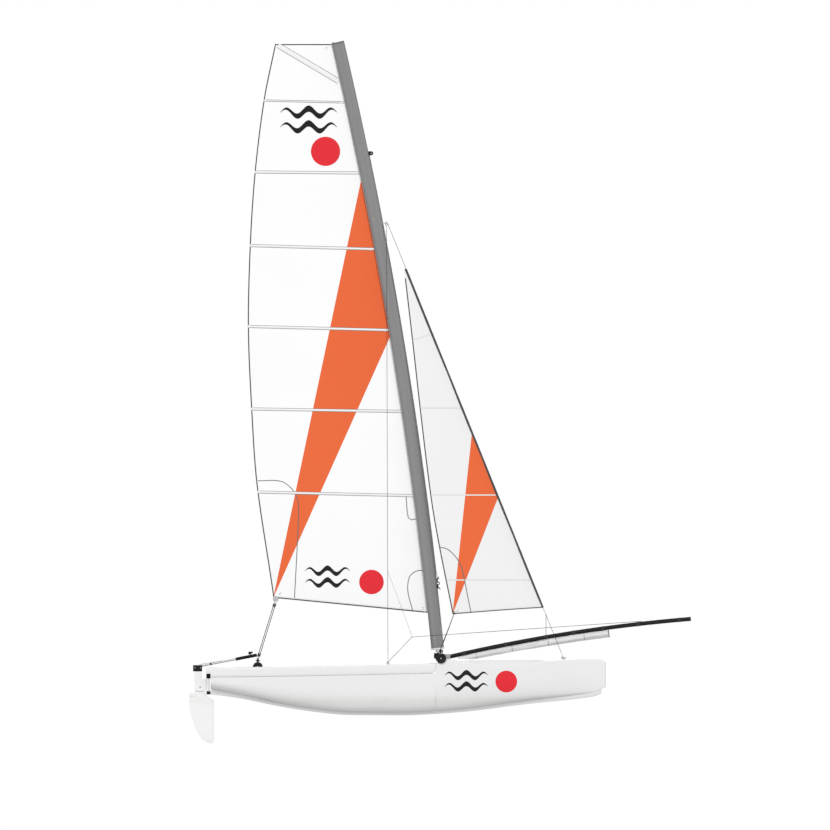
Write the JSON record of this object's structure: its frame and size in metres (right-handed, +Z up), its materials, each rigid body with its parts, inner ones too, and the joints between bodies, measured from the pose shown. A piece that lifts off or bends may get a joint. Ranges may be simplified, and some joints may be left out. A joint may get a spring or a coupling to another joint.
{
  "type": "catamaran sailing dinghy",
  "caption": "Twin-hulled sailing dinghy afloat, with a bent turning mast, square-topped mainsail, jib, bowsprit with chute, trampoline and tipping rudders.",
  "frame": {"origin": "amidships on the centreline, at the waterline", "axes": "+X forward to the bows, +Y to port, +Z up"},
  "size_m": [5.3198, 2.134, 7.4583],
  "materials": {
    "hull_white": "moulded polyethylene, semi-gloss",
    "keel_grey": "moulded wear strip, satin",
    "deck_white": "moulded, semi-gloss with fine texture",
    "spar_grey": "anodised, satin",
    "black_plastic": "moulded, matt",
    "white_plastic": "moulded, satin",
    "stainless": "brushed",
    "wire": "stranded wire",
    "mesh_black": "woven mesh and webbing",
    "pole_black": "coated tube, satin",
    "chute_cloth": "coated cloth",
    "sail_white": "woven sailcloth, crisp",
    "jib_cloth": "woven sailcloth, crisp",
    "rudder_white": "moulded, semi-gloss",
    "tiller_black": "coated tube, matt"
  },
  "bodies": {
    "platform": {"port_hull": "hull_white", "starboard_hull": "hull_white", "port_keel": "keel_grey", "starboard_keel": "keel_grey", "port_side_deck": "deck_white", "starboard_side_deck": "deck_white", "front_crossbeam": "spar_grey", "rear_crossbeam": "spar_grey", "front_beam_caps": "black_plastic", "rear_beam_caps": "black_plastic", "mast_step": "white_plastic", "dolphin_striker": "stainless", "trampoline": "mesh_black", "toe_straps": "mesh_black", "port_shroud": "wire", "starboard_shroud": "wire", "shroud_plates": "stainless", "hounds_swivel": "stainless", "forestay": "wire", "bow_bridle": "wire", "bridle_plates": "stainless", "bowsprit_pole": "pole_black", "pole_socket": "stainless", "pole_strop": "mesh_black", "gennaker_chute": "chute_cloth", "chute_hoop": "black_plastic", "mainsheet_track": "black_plastic", "traveller_car": "black_plastic", "port_gudgeons": "black_plastic", "starboard_gudgeons": "black_plastic", "hatch_covers": "hull_white", "jib_sheet_blocks": "black_plastic"},
    "mast_and_mainsail": {"mast": "spar_grey", "mast_foot": "white_plastic", "mast_head": "black_plastic", "hounds_tang": "stainless", "gennaker_block": "black_plastic", "mainsail": "sail_white", "mainsheet_block": "stainless"},
    "jib_sail": {"jib": "jib_cloth"},
    "port_rudder": {"port_rudder_stock": "rudder_white", "port_tiller_arm": "tiller_black"},
    "starboard_rudder": {"starboard_rudder_stock": "rudder_white", "starboard_tiller_arm": "tiller_black"},
    "port_blade": {"port_rudder_blade": "rudder_white"},
    "starboard_blade": {"starboard_rudder_blade": "rudder_white"},
    "crossbar": {"tiller_crossbar": "tiller_black", "tiller_extension": "tiller_black"}
  },
  "joints": [
    {"name": "mast_turn", "type": "hinge", "parent": "platform", "child": "mast_and_mainsail", "pos_m": [0.343, 0, 0.516], "axis": [-0.1199, 0, 0.9928], "range_deg": [-35, 35]},
    {"name": "jib_swing", "type": "hinge", "parent": "platform", "child": "jib_sail", "pos_m": [1.48637, 0, 0.905], "axis": [-0.375, 0, 0.927], "range_deg": [-8, 30]},
    {"name": "steering", "type": "hinge", "parent": "platform", "child": "port_rudder", "pos_m": [-2.095, 0.86, 0.2], "axis": [0, 0, 1], "range_deg": [-40, 40]},
    {"name": "starboard_steering", "type": "hinge", "parent": "platform", "child": "starboard_rudder", "pos_m": [-2.095, -0.86, 0.2], "axis": [0, 0, 1], "range_deg": [-40, 40]},
    {"name": "crossbar_pivot", "type": "hinge", "parent": "port_rudder", "child": "crossbar", "pos_m": [-1.653, 0.86, 0.50179], "axis": [0, 0, 1], "range_deg": [-40, 40]},
    {"name": "port_blade_tip", "type": "hinge", "parent": "port_rudder", "child": "port_blade", "pos_m": [-2.18, 0.86, 0.14], "axis": [0, 1, 0], "range_deg": [0, 100]},
    {"name": "starboard_blade_tip", "type": "hinge", "parent": "starboard_rudder", "child": "starboard_blade", "pos_m": [-2.18, -0.86, 0.14], "axis": [0, 1, 0], "range_deg": [0, 100]}
  ],
  "couplings": [
    {"joint": "starboard_steering", "follows": "steering", "ratio": 1},
    {"joint": "crossbar_pivot", "follows": "steering", "ratio": -1}
  ]
}
